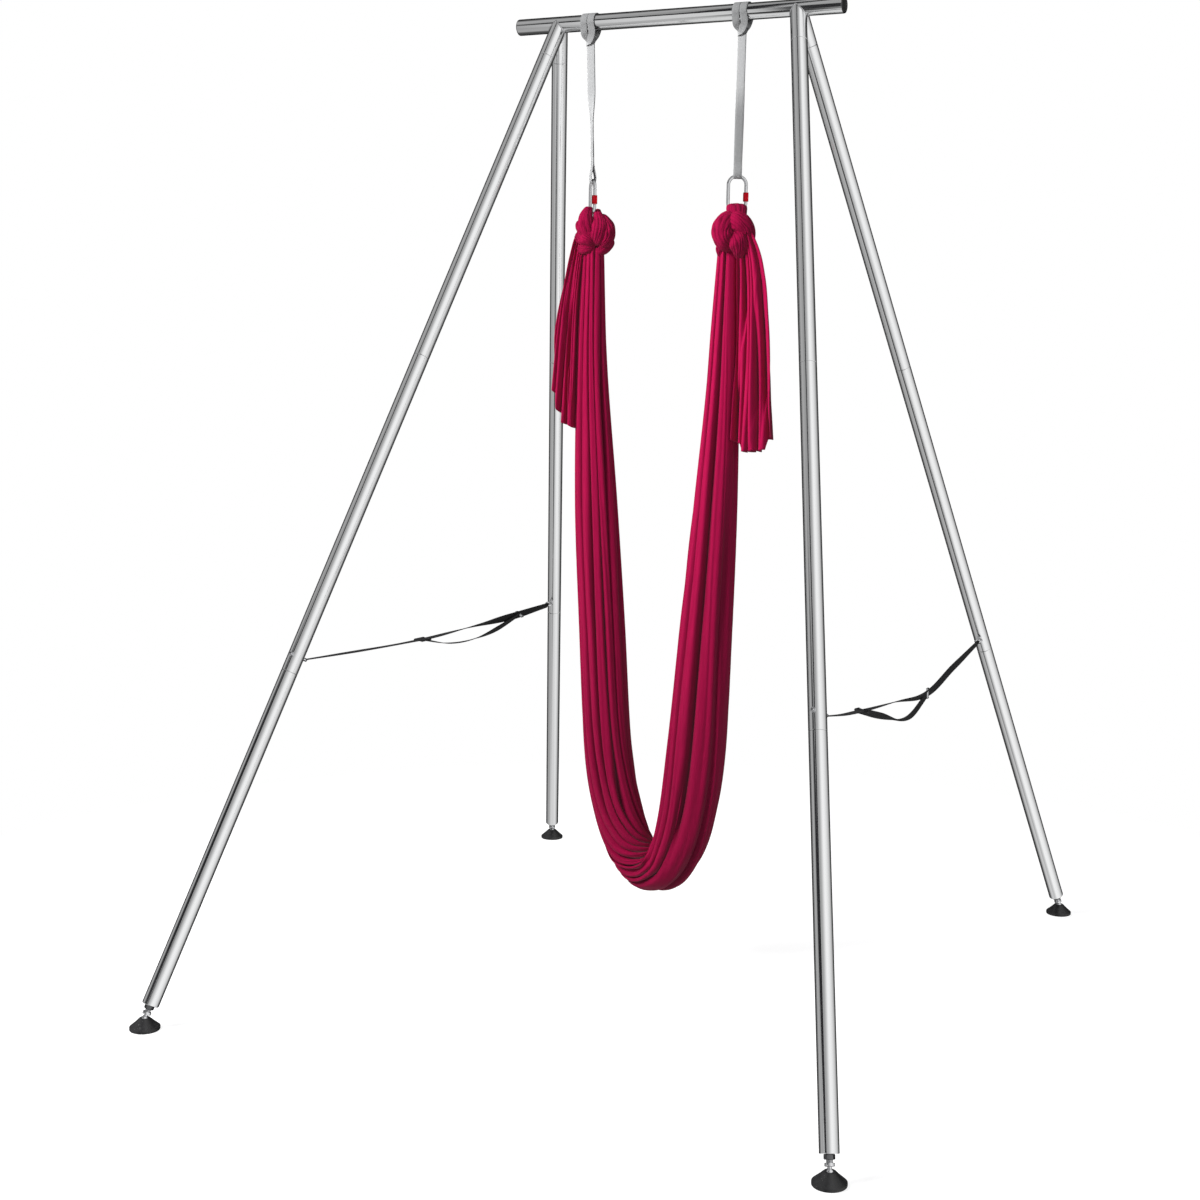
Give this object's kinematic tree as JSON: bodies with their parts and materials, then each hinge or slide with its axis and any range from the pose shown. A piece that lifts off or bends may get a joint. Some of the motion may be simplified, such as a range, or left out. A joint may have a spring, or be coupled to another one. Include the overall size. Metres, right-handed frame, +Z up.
{
  "type": "aerial rig",
  "caption": "Free-standing aerial rig: a crossbar on four splayed plug-together tube legs with levelling feet, side straps, two slings with screw-lock carabiners and a knotted cloth hammock.",
  "frame": {"origin": "on the floor under the middle of the crossbar", "axes": "+Z up, +X along the crossbar to the right, +Y from the front feet to the rear feet"},
  "size_m": [2.1128, 2.4586, 2.9272],
  "materials": {
    "tube_steel": "polished steel tube with long soft reflections",
    "bright_steel": "bright zinc-plated and polished fittings",
    "dark_steel": "blackened lock nuts",
    "black_plastic": "dark moulded plastic, fine grain",
    "black_webbing": "black polyester webbing with a woven rib",
    "grey_webbing": "light grey woven webbing, stitched",
    "red_anodised": "red anodised aluminium, knurled",
    "crimson_cloth": "crimson knitted nylon tricot with a soft sheen"
  },
  "bodies": {
    "frame": {"crossbar": "tube_steel", "end_cap_left": "black_plastic", "end_cap_right": "black_plastic", "leg_socket_front_left": "tube_steel", "leg_tube_upper_front_left": "tube_steel", "leg_tube_middle_front_left": "tube_steel", "leg_tube_lower_front_left": "tube_steel", "eye_bolt_front_left": "bright_steel", "eye_bolt_nut_front_left": "bright_steel", "foot_lock_nut_front_left": "dark_steel", "leg_socket_front_right": "tube_steel", "leg_tube_upper_front_right": "tube_steel", "leg_tube_middle_front_right": "tube_steel", "leg_tube_lower_front_right": "tube_steel", "eye_bolt_front_right": "bright_steel", "eye_bolt_nut_front_right": "bright_steel", "foot_lock_nut_front_right": "dark_steel", "leg_socket_rear_left": "tube_steel", "leg_tube_upper_rear_left": "tube_steel", "leg_tube_middle_rear_left": "tube_steel", "leg_tube_lower_rear_left": "tube_steel", "eye_bolt_rear_left": "bright_steel", "eye_bolt_nut_rear_left": "bright_steel", "foot_lock_nut_rear_left": "dark_steel", "leg_socket_rear_right": "tube_steel", "leg_tube_upper_rear_right": "tube_steel", "leg_tube_middle_rear_right": "tube_steel", "leg_tube_lower_rear_right": "tube_steel", "eye_bolt_rear_right": "bright_steel", "eye_bolt_nut_rear_right": "bright_steel", "foot_lock_nut_rear_right": "dark_steel", "spreader_strap_left": "black_webbing", "joining_buckle_left": "black_plastic", "slide_buckle_left": "bright_steel", "spreader_strap_right": "black_webbing", "joining_buckle_right": "black_plastic", "slide_buckle_right": "bright_steel"},
    "foot_stem_front_left": {"foot_stem_front_left": "bright_steel"},
    "foot_pad_front_left": {"foot_pad_front_left": "black_plastic"},
    "foot_stem_front_right": {"foot_stem_front_right": "bright_steel"},
    "foot_pad_front_right": {"foot_pad_front_right": "black_plastic"},
    "foot_stem_rear_left": {"foot_stem_rear_left": "bright_steel"},
    "foot_pad_rear_left": {"foot_pad_rear_left": "black_plastic"},
    "foot_stem_rear_right": {"foot_stem_rear_right": "bright_steel"},
    "foot_pad_rear_right": {"foot_pad_rear_right": "black_plastic"},
    "sling_left": {"sling_left": "grey_webbing"},
    "sling_right": {"sling_right": "grey_webbing"},
    "carabiner_left": {"carabiner_body_left": "bright_steel", "hammock_band": "crimson_cloth", "hammock_knot_left": "crimson_cloth", "hammock_knot_right": "crimson_cloth", "hammock_tail_left": "crimson_cloth", "hammock_tail_right": "crimson_cloth"},
    "carabiner_right": {"carabiner_body_right": "bright_steel"},
    "gate_left": {"carabiner_gate_left": "bright_steel"},
    "sleeve_left": {"screw_sleeve_left": "red_anodised"},
    "gate_right": {"carabiner_gate_right": "bright_steel"},
    "sleeve_right": {"screw_sleeve_right": "red_anodised"}
  },
  "joints": [
    {"name": "foot_level_front_left", "type": "slide", "parent": "frame", "child": "foot_stem_front_left", "axis": [-0.1983, -0.3748, -0.9057], "range_m": [-0.005, 0.025]},
    {"name": "foot_tilt_front_left", "type": "hinge", "parent": "foot_stem_front_left", "child": "foot_pad_front_left", "pos_m": [-1.01499, -1.18676, 0.032], "axis": [0.8839, -0.4677, 0], "range_deg": [-8, 8]},
    {"name": "foot_level_front_right", "type": "slide", "parent": "frame", "child": "foot_stem_front_right", "axis": [0.1983, -0.3748, -0.9057], "range_m": [-0.005, 0.025]},
    {"name": "foot_tilt_front_right", "type": "hinge", "parent": "foot_stem_front_right", "child": "foot_pad_front_right", "pos_m": [1.01499, -1.18676, 0.032], "axis": [0.8839, 0.4677, 0], "range_deg": [-8, 8]},
    {"name": "foot_level_rear_left", "type": "slide", "parent": "frame", "child": "foot_stem_rear_left", "axis": [-0.1983, 0.3748, -0.9057], "range_m": [-0.005, 0.025]},
    {"name": "foot_tilt_rear_left", "type": "hinge", "parent": "foot_stem_rear_left", "child": "foot_pad_rear_left", "pos_m": [-1.01499, 1.18676, 0.032], "axis": [-0.8839, -0.4677, 0], "range_deg": [-8, 8]},
    {"name": "foot_level_rear_right", "type": "slide", "parent": "frame", "child": "foot_stem_rear_right", "axis": [0.1983, 0.3748, -0.9057], "range_m": [-0.005, 0.025]},
    {"name": "foot_tilt_rear_right", "type": "hinge", "parent": "foot_stem_rear_right", "child": "foot_pad_rear_right", "pos_m": [1.01499, 1.18676, 0.032], "axis": [-0.8839, 0.4677, 0], "range_deg": [-8, 8]},
    {"name": "sling_swing_left", "type": "hinge", "parent": "frame", "child": "sling_left", "pos_m": [-0.28, 0, 2.9], "axis": [1, 0, 0], "range_deg": [-45, 45]},
    {"name": "sling_swing_right", "type": "hinge", "parent": "frame", "child": "sling_right", "pos_m": [0.216, 0, 2.9], "axis": [1, 0, 0], "range_deg": [-45, 45]},
    {"name": "carabiner_pivot_left", "type": "hinge", "parent": "sling_left", "child": "carabiner_left", "pos_m": [-0.265, 0, 2.433], "axis": [1, 0, 0], "range_deg": [-15, 15]},
    {"name": "carabiner_pivot_right", "type": "hinge", "parent": "sling_right", "child": "carabiner_right", "pos_m": [0.213, 0, 2.433], "axis": [1, 0, 0], "range_deg": [-15, 15]},
    {"name": "gate_hinge_left", "type": "hinge", "parent": "carabiner_left", "child": "gate_left", "pos_m": [-0.2476, -0.01932, 2.404], "axis": [0.7431, 0.6691, 0], "range_deg": [0, 25], "stiffness_Nm_per_rad": 0.4, "springref_deg": -20.05},
    {"name": "screw_sleeve_left", "type": "slide", "parent": "gate_left", "child": "sleeve_left", "axis": [0, 0, -1], "range_m": [0, 0.004]},
    {"name": "gate_hinge_right", "type": "hinge", "parent": "carabiner_right", "child": "gate_right", "pos_m": [0.23656, 0.01099, 2.404], "axis": [-0.4226, 0.9063, 0], "range_deg": [0, 25], "stiffness_Nm_per_rad": 0.4, "springref_deg": -20.05},
    {"name": "screw_sleeve_right", "type": "slide", "parent": "gate_right", "child": "sleeve_right", "axis": [0, 0, -1], "range_m": [0, 0.004]}
  ],
  "couplings": [
    {"joint": "sling_swing_right", "follows": "sling_swing_left", "ratio": 1},
    {"joint": "carabiner_pivot_right", "follows": "carabiner_pivot_left", "ratio": 1}
  ]
}
